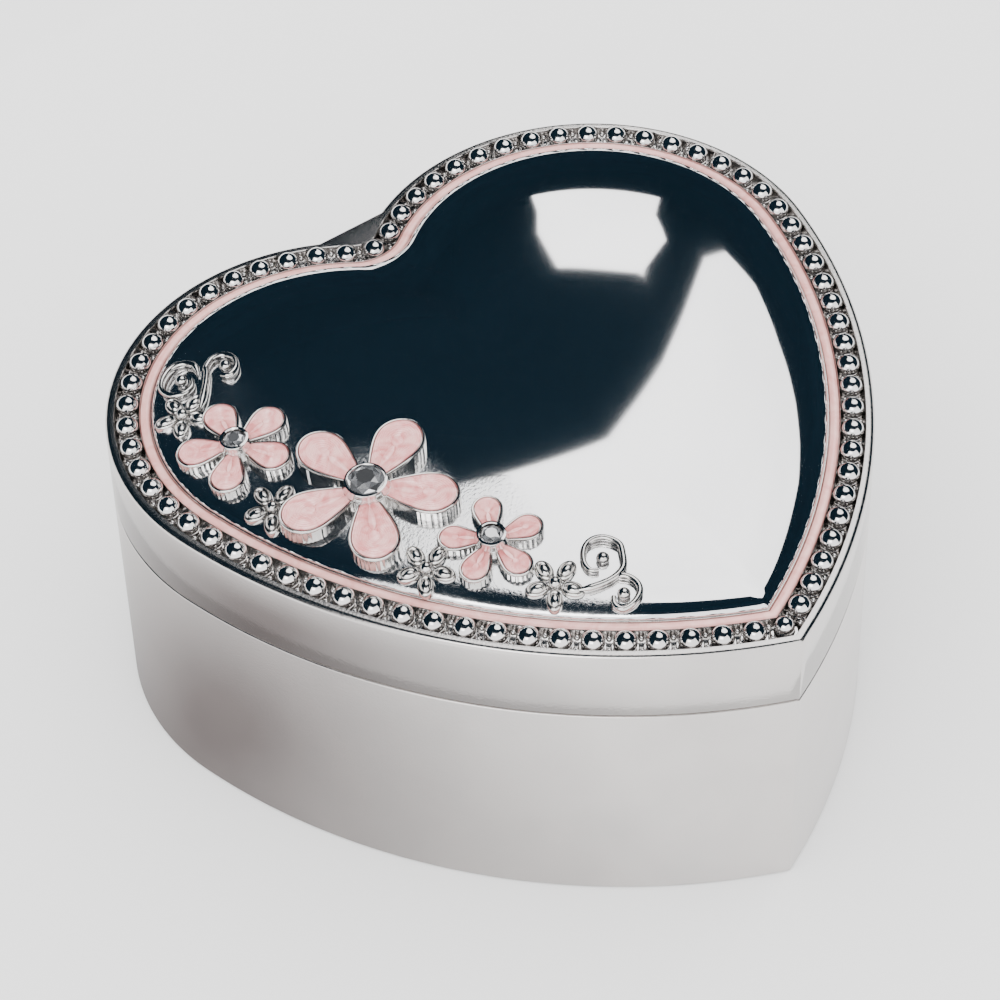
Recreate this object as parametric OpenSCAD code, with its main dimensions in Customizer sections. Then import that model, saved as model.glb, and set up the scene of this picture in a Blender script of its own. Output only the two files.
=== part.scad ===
// Heart-shaped wind-up music box: a cast case with a hinged, jewelled lid and an 18-note movement.
// Millimetres. X runs across the heart, -Y points to its tip, +Z is up, z = 0 is the foot of the case.

/* [Case] */
// Width of the heart across its two lobes
heart_w = 100; // [92:1:120]
// Height of the base, from the foot to the seam
body_h = 32.7; // [32.5:0.1:42]
// Height of the lid wall above the seam
lid_h = 10.8; // [10:0.1:14]
// Thickness of the cast walls
wall = 1.8; // [1.5:0.1:2.2]
// Gap between the lid and the base when the lid is shut
seam_gap = 0.25; // [0.2:0.05:0.4]
// Height of the recess under the base that hides the key
recess_h = 7.3; // [7:0.1:9]
// Thickness of the bottom plate
plate_t = 1.2; // [1:0.1:1.6]

/* [Lid ornament] */
// Rise of the polished dome above the rim
dome_h = 4; // [3:0.1:6]
// Diameter of one border bead
bead_d = 3; // [2.4:0.1:3]
// Height of the flower castings above the dome
flower_h = 1.7; // [1.2:0.1:2.6]
// Diameter of the large crystal
crystal_d = 4.7; // [4:0.1:5]
// Diameter of the two small crystals
small_crystal_d = 3; // [2.6:0.1:3.4]

/* [Hinge] */
// Radius of the hinge knuckles
knuckle_r = 1.6; // [1.4:0.1:1.8]
// Radius of the hinge pin
hinge_pin_r = 0.7; // [0.5:0.05:0.8]

/* [Movement] */
// Radius of the pinned cylinder
cylinder_r = 6; // [5.5:0.1:6.2]
// Number of teeth on the comb
comb_teeth = 18; // [12:1:18]
// Radial clearance of every arbor in its bearing
bearing_gap = 0.05; // [0.03:0.01:0.08]
// Travel of the stop plunger as the lid opens
plunger_travel = 2.5; // [1.5:0.1:2.7]

/* [Hidden] */
$fn = 48;

// ---- Heart outline: two lobe arcs, two side arcs, a cleft -------------------------------------
lobe_r = 0.306 * heart_w;
lobe_x = heart_w / 2 - lobe_r;
side_r = 0.852 * heart_w;
side_drop = 13;                 // degrees below level where the lobe arc runs into the side arc
web_y = 0.27 * heart_w;         // flat web across the cleft that carries the hinge
cleft_r = 2;                    // radius at the bottom of the cleft on the rim
side_cx = lobe_x - (side_r - lobe_r) * cos(side_drop);
side_cy = (side_r - lobe_r) * sin(side_drop);
cleft_cy = sqrt(pow(lobe_r + cleft_r, 2) - lobe_x * lobe_x);
function tip_y(inset) = side_cy - sqrt(pow(side_r - inset, 2) - side_cx * side_cx);
function arc(cx, cy, r, a0, a1, n) = [for (i = [0:n]) let (a = a0 + (a1 - a0) * i / n) [cx + r * cos(a), cy + r * sin(a)]];

// Right half of the outline from the tip to the middle of the cleft, moved inwards by inset
function half_heart(inset, web) =
    let (r = lobe_r - inset,
         tip_a = atan2(tip_y(inset) - side_cy, -side_cx),
         web_level = web_y - inset,
         web_a = 180 - asin(min(web_level / r, 1)),
         fillet = cleft_r + inset,
         join_a = atan2(cleft_cy, -lobe_x),
         end_a = web ? web_a : join_a,
         web_x = lobe_x + r * cos(web_a))
    concat(arc(side_cx, side_cy, side_r - inset, tip_a, -side_drop, 8),
           [for (i = [1:26]) let (a = -side_drop + (end_a + side_drop) * i / 26) [lobe_x + r * cos(a), r * sin(a)]],
           web ? [for (i = [1:4]) [web_x * (1 - i / 4), web_level]]
               : [for (i = [1:4]) let (a = join_a + 180 + (270 - join_a - 180) * i / 4)
                      [fillet * cos(a), cleft_cy + fillet * sin(a)]]);
function heart_pts(inset, web = false) =
    let (h = half_heart(inset, web), n = len(h))
    concat(h, [for (i = [n - 2:-1:1]) [-h[i][0], h[i][1]]]);
module heart(inset, web = false) { polygon(heart_pts(inset, web)); }
module heart_ring(z0, z1, outer, inner, web = false)
    translate([0, 0, z0]) linear_extrude(z1 - z0) difference() { heart(outer, web); heart(inner, web); }

// ---- Heights and places derived from the sizes above ------------------------------------------
shift_y = -(tip_y(0) + lobe_r + knuckle_r) / 2;   // puts the origin under the middle of the box
plate_z = recess_h;
bed_z = plate_z + plate_t;
ledge_w = 5.6;
ledge_t = 3;
lining_t = 1.5;
lining_in = wall + 0.1;
lip_h = 2.5;
cover_t = 1.2;
cover_z = body_h - 0.3 - cover_t;
lid_z = body_h + seam_gap;
rim_z = body_h + lid_h;
pad_t = 1.5;
pad_z = lid_z + 3.3;
hinge_z = body_h + seam_gap / 2;
hinge_y = lobe_r;
key_at = [-12, 22];             // arbor of the spring barrel, in the movement's own axes
bed_back = 40.6;
bed_front = -2;
move_y = web_y - ledge_w - 0.7 - bed_back;
part_y = move_y + bed_front - 0.5;  // back face of the partition
key_y = move_y + key_at[1];
module placed() { translate([0, shift_y, 0]) children(); }
module movement() { translate([0, shift_y + move_y, bed_z]) children(); }
module tube(r_out, r_in, h) { difference() { cylinder(r = r_out, h = h); translate([0, 0, -1]) cylinder(r = r_in, h = h + 2); } }

// ---- Lid surface: rings of points from the underside to the top of the dome --------------------
panel_in = 5.9;                 // inset of the dome from the outline
dome_c = [0, -0.08 * heart_w];  // centre that the dome's rings shrink towards
lid_skin = 1.6;
channel_z = rim_z - 1.9;        // floor of the bead channel
function at_z(pts, z) = [for (p = pts) [p[0], p[1], z]];
function shrunk(pts, s) = [for (p = pts) [dome_c[0] + (p[0] - dome_c[0]) * s, dome_c[1] + (p[1] - dome_c[1]) * s]];
function dome_rise(s) = dome_h * sqrt(1 - pow(min(s, 1), 3));
dome_steps = [0.995, 0.98, 0.95, 0.9, 0.8, 0.65, 0.45, 0.2];
lid_rings = concat(
    [for (i = [7:-1:1]) at_z(shrunk(heart_pts(panel_in), dome_steps[i]), rim_z - lid_skin + dome_rise(dome_steps[i]))],
    [for (q = [[panel_in, rim_z - 3.3], [wall, rim_z - 3.6], [wall, lid_z], [0, lid_z], [0, rim_z - 0.6],
               [0.2, rim_z - 0.2], [0.6, rim_z], [1.1, rim_z], [1.2, channel_z], [4.3, channel_z],
               [4.32, rim_z - 0.1], [4.4, rim_z - 0.1], [4.4, rim_z - 0.9], [5.7, rim_z - 0.9],
               [5.7, rim_z - 0.1], [panel_in, rim_z]])
         at_z(heart_pts(q[0], q[0] < 1 || q[0] == wall), q[1])],
    [for (s = dome_steps) at_z(shrunk(heart_pts(panel_in), s), rim_z + dome_rise(s))]);
module loft(rings) {
    n = len(rings[0]);
    m = len(rings);
    centre_low = [dome_c[0], dome_c[1], rings[0][0][2] + 0.05];
    centre_high = [dome_c[0], dome_c[1], rings[m - 1][0][2] + 0.05];
    sides = [for (j = [0:m - 2]) for (i = [0:n - 1]) let (a = j * n + i, b = j * n + (i + 1) % n)
        each [[a, a + n, b + n], [a, b + n, b]]];
    low = [for (i = [0:n - 1]) [m * n, i, (i + 1) % n]];
    high = [for (i = [0:n - 1]) [m * n + 1, (m - 1) * n + (i + 1) % n, (m - 1) * n + i]];
    polyhedron(concat([for (r = rings) each r], [centre_low, centre_high]), concat(sides, low, high), convexity = 8);
}
// Height and slope of the dome at a point of the heart
function ray_share(p, a, b) = let (e = b - a, d = p - dome_c, w = a - dome_c)
    [cross(w, d), cross(d, b - dome_c), cross(d, e) / cross(w, e)];
function dome_share(p) = let (o = heart_pts(panel_in), n = len(o))
    [for (i = [0:n - 1]) let (q = ray_share(p, o[i], o[(i + 1) % n])) if (q[0] >= 0 && q[1] >= 0 && q[2] > 0) q[2]][0];
function dome_z(p) = rim_z + dome_rise(dome_share(p));
module on_dome(p, sink = 0.5) {
    k = heart_w / 100;
    q = [p[0] * k, p[1] * k];
    zx = (dome_z(q + [2, 0]) - dome_z(q - [2, 0])) / 4;
    zy = (dome_z(q + [0, 2]) - dome_z(q - [0, 2])) / 4;
    translate([q[0], q[1] + shift_y, dome_z(q)])
        rotate(a = atan(norm([zx, zy])), v = [zy, -zx, 0]) translate([0, 0, -sink]) children();
}

// ---- Case --------------------------------------------------------------------------------------
bottom_screw_at = [[0, tip_y(0) + 9.5], [-lobe_x - 0.86 * (lobe_r - 3.8), 0.3 * lobe_r], [lobe_x + 0.86 * (lobe_r - 3.8), 0.3 * lobe_r]];
module base_shell() color("silver") placed() difference() {
    union() {
        heart_ring(0, body_h, 0, wall, true);
        heart_ring(bed_z, bed_z + ledge_t, wall - 0.3, ledge_w, true);
    }
    for (p = bottom_screw_at) translate([p[0], p[1], bed_z - 1]) cylinder(r = 0.85, h = 3.4);
}
module bottom_plate() color("silver") placed() difference() {
    translate([0, 0, plate_z]) linear_extrude(plate_t) heart(wall + 0.15, true);
    for (p = bottom_screw_at) translate([p[0], p[1], 0]) cylinder(r = 0.9, h = 20);
    for (p = movement_screw_at) translate([p[0], p[1] + move_y, 0]) cylinder(r = 1.2, h = 20);
    translate([key_at[0], key_y, 0]) cylinder(r = 3, h = 20);
}
module bottom_screws() color("gray") placed() for (p = bottom_screw_at) translate([p[0], p[1], plate_z - 0.9]) {
    difference() { cylinder(r = 1.6, h = 0.9); translate([-2, -0.2, -1]) cube([4, 0.4, 1.4]); }
    cylinder(r = 0.8, h = 4);
}
module base_felt() color("darkred") placed() difference() {
    translate([0, 0, plate_z - 0.5]) linear_extrude(0.5) heart(wall + 0.6, true);
    for (p = bottom_screw_at) translate([p[0], p[1], 0]) cylinder(r = 1.9, h = 20);
    for (p = movement_screw_at) translate([p[0], p[1] + move_y, 0]) cylinder(r = 2.3, h = 20);
    translate([key_at[0], key_y, 0]) cylinder(r = 4.2, h = 20);
}
module wall_lining() color("black") placed() {
    heart_ring(bed_z + ledge_t, body_h + lip_h, lining_in, lining_in + lining_t, true);
    intersection() {
        heart_ring(cover_z - 2.5, cover_z, lining_in + lining_t - 0.1, lining_in + lining_t + 1, true);
        translate([-heart_w, part_y + 0.3, 0]) cube([2 * heart_w, heart_w, 100]);
    }
}
module tray_lining() color("black") placed() intersection() {
    translate([0, 0, bed_z + ledge_t + 0.05]) linear_extrude(1.5) heart(lining_in + lining_t + 0.1, true);
    translate([-heart_w, part_y - 1.6 - 2 * heart_w, 0]) cube([2 * heart_w, 2 * heart_w, 100]);
}
module partition() color("black") placed() intersection() {
    translate([0, 0, bed_z + ledge_t + 0.05]) linear_extrude(cover_z - bed_z - ledge_t - 0.1) heart(lining_in + lining_t + 0.1, true);
    translate([-heart_w, part_y - 1.5, 0]) cube([2 * heart_w, 1.5, 100]);
}
module movement_cover() color("white", 0.3) placed() difference() {
    intersection() {
        translate([0, 0, cover_z + 0.02]) linear_extrude(cover_t) heart(lining_in + lining_t + 0.2, true);
        translate([-heart_w, part_y - 1.5, 0]) cube([2 * heart_w, heart_w, 100]);
    }
    translate([plunger_at[0], plunger_at[1] + move_y, 0]) cylinder(r = 1.4, h = 100);
}
module winding_key() color("silver") translate([key_at[0], shift_y + key_y, 0]) difference() {
    union() {
        translate([0, 0, 1]) cylinder(r = 3, h = plate_z - 1.8);
        for (s = [-1, 1]) hull() {
            translate([s * 2, -0.7, 1.6]) cube([0.5, 1.4, 3.4], center = false);
            translate([s * 8.2, 0.7, 3.3]) rotate([90, 0, 0]) cylinder(r = 2.4, h = 1.4, $fn = 24);
        }
    }
    translate([0, 0, 2.4]) cylinder(r = 1.7 + bearing_gap, h = 20);
}

// ---- Lid ---------------------------------------------------------------------------------------
module lid_shell() color("silver") placed() loft(lid_rings);
bead_in = 2.75;
bead_path = let (h = heart_pts(bead_in)) concat(h, [h[0]]);
function lengths(p, i = 0, sum = 0) = i >= len(p) - 1 ? [sum] : concat([sum], lengths(p, i + 1, sum + norm(p[i + 1] - p[i])));
bead_run = lengths(bead_path);
bead_n = floor(bead_run[len(bead_run) - 1] / (bead_d + 0.85));
function along(p, run, d) = let (i = max([for (j = [0:len(run) - 2]) if (run[j] <= d) j]), t = (d - run[i]) / (run[i + 1] - run[i]))
    p[i] + (p[i + 1] - p[i]) * t;
module bead_border() color("silver") placed() for (i = [0:bead_n - 1])
    let (q = along(bead_path, bead_run, bead_run[len(bead_run) - 1] * i / bead_n))
        translate([q[0], q[1] + (i == 0 ? 0.35 : 0), channel_z + bead_d / 2 + 0.02]) sphere(d = i == 0 ? bead_d - 0.5 : bead_d, $fn = 24);
module enamel_band() color("pink") placed() heart_ring(rim_z - 0.85, rim_z - 0.1, 4.45, 5.65);
module lid_lining() color("black") placed() translate([0, 0, pad_z]) linear_extrude(pad_t) heart(wall + 0.4, true);

// A teardrop petal from the flower's centre, as an outline along +X
function petal(len, w, from = 0) = let (n = 12, f = function (t) w / 2 * sqrt(sin(180 * pow(t, 1.9))))
    concat([for (i = [0:n]) let (t = 0.02 + 0.98 * i / n) [from + (len - from) * t, -f(t) - 0.01]],
           [for (i = [n:-1:0]) let (t = 0.02 + 0.98 * i / n) [from + (len - from) * t, f(t) + 0.01]]);
module petals(angles, len, w, from = 0) for (a = angles) rotate(a) polygon(petal(len, w, from));
module flower_casting(angles, len, w, h, hub) difference() {
    linear_extrude(h + 0.5) union() { petals(angles, len, w); circle(r = hub); }
    translate([0, 0, h - 0.3]) linear_extrude(2) difference() { petals(angles, len - 0.5, w - 1, 0.8); circle(r = hub - 0.4); }
}
module flower_enamel(angles, len, w, h, hub) translate([0, 0, h - 0.27]) linear_extrude(0.95)
    difference() { petals(angles, len - 0.6, w - 1.2, 0.9); circle(r = hub - 0.25); }
large_at = [-28.3, -17.2];
left_at = [-36.4, -0.7];
right_at = [-21.2, -33];
large_petals_a = [97, 169, 241, 313, 25];
left_petals_a = [78, 5, 297, 223, 150];
right_petals_a = [137, 60, -14, -86, 207];
small_h = 1.2;
hub_d = crystal_d + 1.3;
small_hub_d = small_crystal_d + 1;
module large_flower() color("silver") on_dome(large_at) flower_casting(large_petals_a, 11.6, 6.4, flower_h, hub_d / 2);
module left_flower() color("silver") on_dome(left_at) flower_casting(left_petals_a, 7.6, 4.7, small_h, small_hub_d / 2);
module right_flower() color("silver") on_dome(right_at) flower_casting(right_petals_a, 6.7, 3.9, small_h, small_hub_d / 2);
module large_petals() color("pink") on_dome(large_at) flower_enamel(large_petals_a, 11.6, 6.4, flower_h, hub_d / 2);
module left_petals() color("pink") on_dome(left_at) flower_enamel(left_petals_a, 7.6, 4.7, small_h, small_hub_d / 2);
module right_petals() color("pink") on_dome(right_at) flower_enamel(right_petals_a, 6.7, 3.9, small_h, small_hub_d / 2);
module bezel(d, hub, z) translate([0, 0, z + 0.52]) tube(hub / 2 - 0.3, d / 2 + 0.03, 1.3);
module crystal(d, z) translate([0, 0, z + 0.55]) { cylinder(d = d, h = 1); translate([0, 0, 1]) cylinder(d1 = d, d2 = d * 0.55, h = 0.7); }
module crystal_bezels() color("silver") {
    on_dome(large_at) bezel(crystal_d, hub_d, flower_h);
    for (p = [left_at, right_at]) on_dome(p) bezel(small_crystal_d, small_hub_d, small_h);
}
module crystals() color("white") {
    on_dome(large_at) crystal(crystal_d, flower_h);
    for (p = [left_at, right_at]) on_dome(p) crystal(small_crystal_d, small_h);
}
small_flower_at = [[-38.2, 8.7], [-38.3, -11.3], [-29.4, -30.8], [-18.8, -42.3]];
module small_flowers() color("silver") for (p = small_flower_at) on_dome(p, 0.4) {
    for (a = [0:72:288]) rotate(a + 15) translate([2.2, 0, 0]) cylinder(r = 1.1, h = 1.1, $fn = 24);
    cylinder(r = 1.2, h = 1.5);
}
// Round wire laid along points, ending in a ball
module wire(points, ball) {
    for (i = [0:len(points) - 2]) hull() for (p = [points[i], points[i + 1]])
        translate([p[0], p[1], 0]) cylinder(r = 0.45, h = 1.1, $fn = 10);
    translate([ball[0], ball[1], 0]) cylinder(r = 0.85, h = 1.3, $fn = 16);
}
upper_scroll_at = [-33, 13];
upper_stem = [[-3, -5], [-1.5, -3.5], [0, -1.8], [1.2, -0.2], [1.5, 0.5], [3, 1.3], [4.5, 0.8], [5.1, -0.7], [4.3, -2.3], [2.9, -2.8]];
upper_curl = [[0.3, 0.5], [0.7, 2], [0, 3.3], [-1.5, 3.9], [-3.3, 3.2], [-4.6, 1.7], [-4.5, 0], [-3.3, -1.2], [-1.7, -1]];
lower_scroll_at = [-12.5, -45];
lower_stem = [[-4.6, 0.1], [-3.1, -0.6], [-0.6, -1.1], [1.4, -0.6], [2.7, 1.2], [3.1, 2.5], [2.3, 4.1], [0.9, 4.8], [-0.6, 4.4],
              [-1.8, 2.9], [-1.9, 1.5]];
lower_curl = [[-0.2, -0.9], [1, -1.9], [1.4, -3.4], [0.8, -4.6], [-0.7, -5.3], [-2.2, -5.2], [-2.6, -4.1]];
module upper_scroll() color("silver") on_dome(upper_scroll_at) {
    wire(upper_stem, [3.7, -1.3]);
    wire(upper_curl, [-2, 0.8]);
}
module lower_scroll() color("silver") on_dome(lower_scroll_at) {
    wire(lower_stem, [0.3, 1.9]);
    wire(lower_curl, [-0.9, -3.8]);
}

// ---- Hinge -------------------------------------------------------------------------------------
leaf_t = 0.8;
leaf_w = 9.2;
module leaf(z0, z1, arm_z, spans) placed() difference() {
    union() {
        translate([-leaf_w / 2, web_y + 0.02, z0]) cube([leaf_w, leaf_t, z1 - z0]);
        for (s = spans) {
            translate([s[0], web_y + 0.02, arm_z]) cube([s[1] - s[0], hinge_y - web_y, 0.8]);
            translate([s[0], hinge_y, hinge_z]) rotate([0, 90, 0]) cylinder(r = knuckle_r, h = s[1] - s[0]);
        }
    }
    translate([-10, hinge_y, hinge_z]) rotate([0, 90, 0]) cylinder(r = hinge_pin_r + bearing_gap, h = 20);
}
module hinge_base_leaf() color("silver") leaf(body_h - 7.5, body_h - 0.6, body_h - 1.4, [[-4.6, -1.7], [1.7, 4.6]]);
module hinge_lid_leaf() color("silver") leaf(lid_z + 0.6, lid_z + 7.5, lid_z + 0.6, [[-1.55, 1.55]]);
module hinge_pin() color("gray") placed() translate([-4.9, hinge_y, hinge_z]) rotate([0, 90, 0]) cylinder(r = hinge_pin_r, h = 9.8);

// ---- Movement, in its own axes: z = 0 is the underside of the bedplate ---------------------------
bed_t = 2.2;
axis_y = 22;
axis_z = 14.6;
crown_teeth = 40;
pinion_teeth = 12;
crown_m = 0.6;
wheel_teeth = 50;
small_teeth = 10;
wheel_m = 0.3;
worm_teeth = 30;
governor_a = -40;
governor_d = wheel_m * (wheel_teeth + small_teeth) / 2 + 0.06;
gov_y = axis_y + governor_d * cos(governor_a);
gov_z = axis_z + governor_d * sin(governor_a);
worm_at = [23.9, gov_y + wheel_m * worm_teeth / 2 + 1.42];
plunger_at = [29.2, worm_at[1]];
fan_r = 3.1;
fan_z = 16;
fan_h = 4.5;
arm_z = 21.2;
shelf_top = 14;
comb_x = [2.9, 19.5];
comb_pitch = (comb_x[1] - comb_x[0]) / 18;
movement_screw_at = [[-22.5, 1.5], [12, 3], [8, 37]];
frame_screw_at = [[4.8, 18.9], [4.8, 25.1], [21.6, 37.4], [22.3, 26.8], [key_at[0], 4.6], [key_at[0], 39]];
comb_screw_at = [[4.6, 1.6], [11, 1.6], [17.6, 1.6]];
screw_r = 0.8;

// Outline of a spur gear with straight-flanked teeth and open clearance
function gear(n, m, tip = 0.22, root = 0.56, add = 0.7, ded = 1.05, phase = 0) = [for (i = [0:n - 1])
    for (q = [[-root / 2, -ded], [-tip / 2, add], [tip / 2, add], [root / 2, -ded]])
        let (a = phase + 360 * (i + q[0]) / n, r = m * n / 2 + q[1] * m) [r * cos(a), r * sin(a)]];
module along_x(x, y, z) translate([x, y, z]) rotate([90, 0, 90]) children();

module bedplate() color("goldenrod") movement() difference() {
    union() {
        translate([-26, bed_front, 0]) cube([52.5, bed_back - bed_front, bed_t]);
        translate([26, worm_at[1] - 2.6, 0]) cube([5.6, 5.2, bed_t]);
        translate([comb_x[0] - 1, bed_front + 0.5, 0]) cube([comb_x[1] - comb_x[0] + 2, 7, shelf_top]);
    }
    translate([key_at[0], key_at[1], -1]) cylinder(r = 2.2 + bearing_gap, h = 5);
    for (p = movement_screw_at) translate([p[0], p[1], -1]) cylinder(r = 0.95, h = 2.8);
    for (p = frame_screw_at) translate([p[0], p[1], bed_t - 1.6]) cylinder(r = screw_r + 0.05, h = 3);
    for (p = comb_screw_at) translate([p[0], p[1], shelf_top - 4]) cylinder(r = screw_r + 0.05, h = 5);
}
module screw(r_head, h_head, length) difference() {
    union() { cylinder(r = r_head, h = h_head); translate([0, 0, -length]) cylinder(r = screw_r, h = length + 0.1); }
    translate([-r_head - 1, -0.2, h_head - 0.35]) cube([2 * r_head + 2, 0.4, 1]);
}
module frame_screws() color("gray") movement() for (p = frame_screw_at) translate([p[0], p[1], bed_t + 1]) screw(1.3, 0.8, 2.2);
module movement_screws() color("gray") placed() for (p = movement_screw_at) translate([p[0], p[1] + move_y, plate_z])
    rotate([180, 0, 0]) union() { difference() { cylinder(r = 2, h = 1); translate([-3, -0.25, 0.6]) cube([6, 0.5, 1]); }
        translate([0, 0, -plate_t - 1.6]) cylinder(r = 0.9, h = plate_t + 1.7); }

comb_tip_y = axis_y - cylinder_r - 0.95;
module comb() color("lightgray") movement() difference() {
    union() {
        translate([0, 0, shelf_top]) linear_extrude(1.2) polygon([[comb_x[0] - 0.6, bed_front + 0.8], [comb_x[1] + 0.6, bed_front + 0.8],
            [comb_x[1] + 0.6, 7.6], [comb_x[0] - 0.6, 4]]);
        for (i = [0:comb_teeth - 1]) let (x = comb_x[0] + comb_pitch * (i + 0.5))
            translate([x - 0.3, 3, shelf_top + 0.3]) cube([0.6, comb_tip_y - 3, 0.6]);
    }
    for (p = comb_screw_at) translate([p[0], p[1], 0]) cylinder(r = screw_r + 0.1, h = 30);
}
module comb_screws() color("gray") movement() for (p = comb_screw_at) translate([p[0], p[1], shelf_top + 1.2]) screw(1.5, 0.9, 4.6);

arbor_r = 1;
cyl_x = [3.1, 19.3];
module cylinder_arbor() color("gray") movement() along_x(-1.7, axis_y, axis_z) cylinder(r = arbor_r, h = 28);
module pin_cylinder() color("gold") movement() along_x(cyl_x[0], axis_y, axis_z) tube(cylinder_r, arbor_r, cyl_x[1] - cyl_x[0]);
module cylinder_pins() color("gray") movement() along_x(0, axis_y, axis_z)
    for (i = [0:comb_teeth - 1]) for (j = [0:3])
        rotate(37 * i + 90 * j + 23 * ((i * 7 + j * 5) % 4) + 11) translate([cylinder_r + 0.01, -0.15, comb_x[0] + comb_pitch * (i + 0.5) - 0.15])
            cube([0.6, 0.3, 0.3]);
module cylinder_pinion() color("gold") movement() along_x(-1.2, axis_y, axis_z) difference() {
    linear_extrude(2.4) polygon(gear(pinion_teeth, crown_m, phase = -90 + 180 / pinion_teeth));
    translate([0, 0, -1]) cylinder(r = arbor_r, h = 5);
}
module cylinder_wheel() color("gold") movement() along_x(21.2, axis_y, axis_z) difference() {
    linear_extrude(1.2) polygon(gear(wheel_teeth, wheel_m, phase = governor_a));
    translate([0, 0, -1]) cylinder(r = arbor_r, h = 5);
}
module cylinder_bracket() color("silver") movement() difference() {
    union() {
        translate([1.4, axis_y - 5, bed_t]) cube([1.1, 10, axis_z + 3 - bed_t]);
        translate([1.4, axis_y - 5, bed_t]) cube([5, 10, 1]);
    }
    along_x(0, axis_y, axis_z) cylinder(r = arbor_r + bearing_gap, h = 5);
    for (i = [0:1]) translate([frame_screw_at[i][0], frame_screw_at[i][1], 0]) cylinder(r = screw_r + 0.1, h = 5);
}
module spring_barrel() color("silver") movement() translate([key_at[0], key_at[1], 0]) {
    pitch_r = crown_m * crown_teeth / 2;
    rotate_extrude() polygon([[2.4, 9], [8.8, 9], [8.8, 3.8], [9.5, 3.8], [9.5, 9], [pitch_r + 0.9, 9], [pitch_r + 0.9, 10.4], [2.4, 10.4]]);
    for (i = [0:crown_teeth - 1]) rotate(360 * i / crown_teeth) translate([pitch_r - 0.8, 0, 0]) rotate([90, 0, 90])
        linear_extrude(1.6) polygon([[-0.42, 10.3], [0.42, 10.3], [0.2, 11.4], [-0.2, 11.4]]);
}
module barrel_cap() color("silver") movement() translate([key_at[0], key_at[1], 3.05]) tube(9.5, 2.4, 0.7);
function spiral(r0, r1, turns, w, n = 20) = let (m = turns * n, f = function (k) r0 + (r1 - r0) * k / m)
    concat([for (k = [0:m]) let (a = 360 * k / n) [f(k) * cos(a), f(k) * sin(a)]],
           [for (k = [m:-1:0]) let (a = 360 * k / n) [(f(k) + w) * cos(a), (f(k) + w) * sin(a)]]);
module mainspring() color("dimgray") movement() translate([key_at[0], key_at[1], 4]) linear_extrude(4.8) polygon(spiral(2.6, 8.2, 6, 0.4));
module winding_arbor() color("gray") translate([key_at[0], shift_y + key_y, 0]) {
    translate([0, 0, 2.5]) cylinder(r = 1.7, h = plate_z - 2.5);
    translate([0, 0, plate_z - 0.1]) cylinder(r = 2.2, h = bed_z - plate_z + 15.4);
}
// Round wire wound along +Z
module coil(r, wire, turns, height, sides = 6, steps = 14) {
    n = turns * steps;
    pts = [for (k = [0:n]) let (a = 360 * k / steps) for (j = [0:sides - 1]) let (b = 360 * j / sides)
        [(r + wire * cos(b)) * cos(a), (r + wire * cos(b)) * sin(a), wire + (height - 2 * wire) * k / n + wire * sin(b)]];
    sides_f = [for (k = [0:n - 1]) for (j = [0:sides - 1]) let (a = k * sides + j, b = k * sides + (j + 1) % sides)
        each [[a, a + sides, b + sides], [a, b + sides, b]]];
    polyhedron(pts, concat(sides_f, [[for (j = [0:sides - 1]) j]], [[for (j = [sides - 1:-1:0]) n * sides + j]]), convexity = 6);
}
module clutch_spring() color("dimgray") movement() translate([key_at[0], key_at[1], 10.6]) coil(2.65, 0.3, 4, 3.2);
bridge_z = 14.1;
module barrel_bridge() color("silver") movement() translate([key_at[0], 0, 0]) difference() {
    union() {
        translate([-3, axis_y - 15, bridge_z]) cube([6, 30, 1]);
        for (s = [-1, 1]) {
            translate([-3, s > 0 ? axis_y + 14 : axis_y - 15, bed_t]) cube([6, 1, bridge_z + 1 - bed_t]);
            translate([-3, s > 0 ? axis_y + 14 : axis_y - 19.4, bed_t]) cube([6, s > 0 ? 4.5 : 5.4, 1]);
        }
    }
    translate([0, axis_y, 0]) cylinder(r = 2.2 + bearing_gap, h = 30);
    for (i = [4:5]) translate([0, frame_screw_at[i][1], 0]) cylinder(r = screw_r + 0.1, h = 5);
}
module governor_frame() color("gold") movement() difference() {
    union() {
        translate([19.9, 25.4, bed_t]) cube([6.2, 15, 1]);
        translate([19.9, 25.4, bed_t]) cube([0.8, 6, 9.5]);
        translate([25.3, 18.5, bed_t]) cube([0.8, 13.5, 15.8]);
        translate([21.4, 39.2, bed_t]) cube([4.7, 1, arm_z + 0.8 - bed_t]);
        translate([22.2, worm_at[1] - 1.6, arm_z]) cube([3.4, 40.2 - worm_at[1] + 1.6, 0.8]);
    }
    along_x(24, axis_y, axis_z) cylinder(r = arbor_r + bearing_gap, h = 5);
    along_x(19, gov_y, gov_z) cylinder(r = 0.4 + bearing_gap, h = 10);
    translate([worm_at[0], worm_at[1], 0]) cylinder(r = 0.4 + bearing_gap, h = 30);
    for (i = [2:3]) translate([frame_screw_at[i][0], frame_screw_at[i][1], 0]) cylinder(r = screw_r + 0.1, h = 5);
}
module governor_wheel() color("white") movement() {
    along_x(19.7, gov_y, gov_z) cylinder(r = 0.4, h = 6.5);
    along_x(21, gov_y, gov_z) linear_extrude(2.1) polygon(gear(small_teeth, wheel_m, phase = 180 + governor_a + 180 / small_teeth));
    along_x(23.1, gov_y, gov_z) linear_extrude(1.5) polygon(gear(worm_teeth, wheel_m, tip = 0.2, root = 0.5));
}
worm_lead = wheel_m * PI;
worm_h = 4.8;
worm_z = gov_z - worm_h / 2;
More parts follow.
